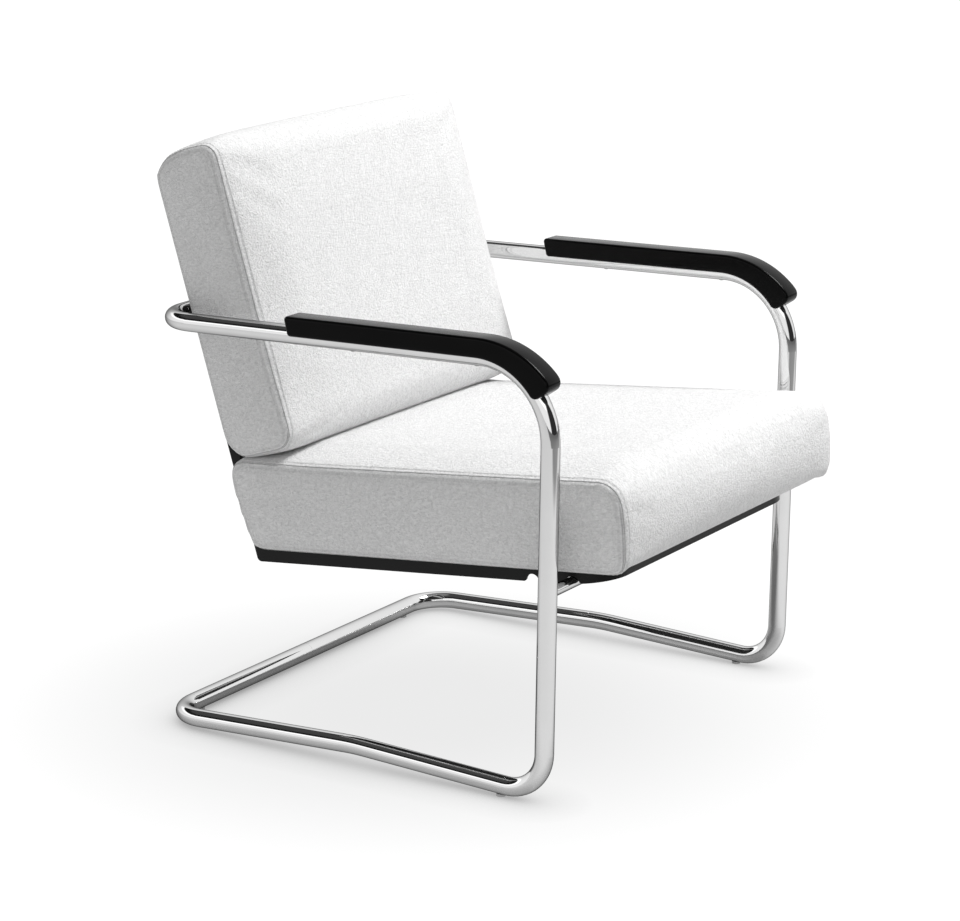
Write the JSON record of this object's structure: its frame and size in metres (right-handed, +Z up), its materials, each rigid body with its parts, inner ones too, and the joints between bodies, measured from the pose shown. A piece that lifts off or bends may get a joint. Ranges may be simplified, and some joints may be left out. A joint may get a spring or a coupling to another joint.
{
  "type": "cantilever lounge chair",
  "caption": "Low cantilever lounge chair: bent chromed tube frame, black wooden arm covers, and a boxed seat and back cushion on a black bar carrier that rests on a crossbar.",
  "frame": {"origin": "middle of the chair's outline seen from above, on the floor", "axes": "+Z up, the chair faces -Y, +X is the sitter's left"},
  "size_m": [0.685, 0.7476, 0.8031],
  "materials": {
    "chrome": "polished chrome plate",
    "steel": "plain steel",
    "screw": "plated steel",
    "black_metal": "satin black",
    "black_wood": "black satin lacquer",
    "plywood": "black-stained plywood",
    "weave": "off-white coarse woollen weave",
    "glide": "milky plastic"
  },
  "bodies": {
    "frame": {"frame_tube_left": "chrome", "frame_tube_right": "chrome", "floor_spigot": "steel", "arm_spigot": "steel", "joint_screws": "steel", "front_crossbar": "chrome", "armrest_left": "black_wood", "armrest_right": "black_wood", "armrest_screws": "screw", "floor_glides": "glide"},
    "seat_unit": {"seat_rail": "black_metal", "seat_cross_bars": "black_metal", "back_upright_left": "black_metal", "back_upright_right": "black_metal", "back_cross_bars": "black_metal", "hook_left": "black_metal", "hook_right": "black_metal", "hook_screws": "screw", "seat_board": "plywood", "back_board": "plywood", "board_screws": "screw", "seat_cushion": "weave", "back_cushion": "weave"}
  },
  "joints": [
    {"name": "seat_lift", "type": "hinge", "parent": "frame", "child": "seat_unit", "pos_m": [0, 0.3328, 0.5675], "axis": [-1, 0, 0], "range_deg": [0, 12]}
  ]
}
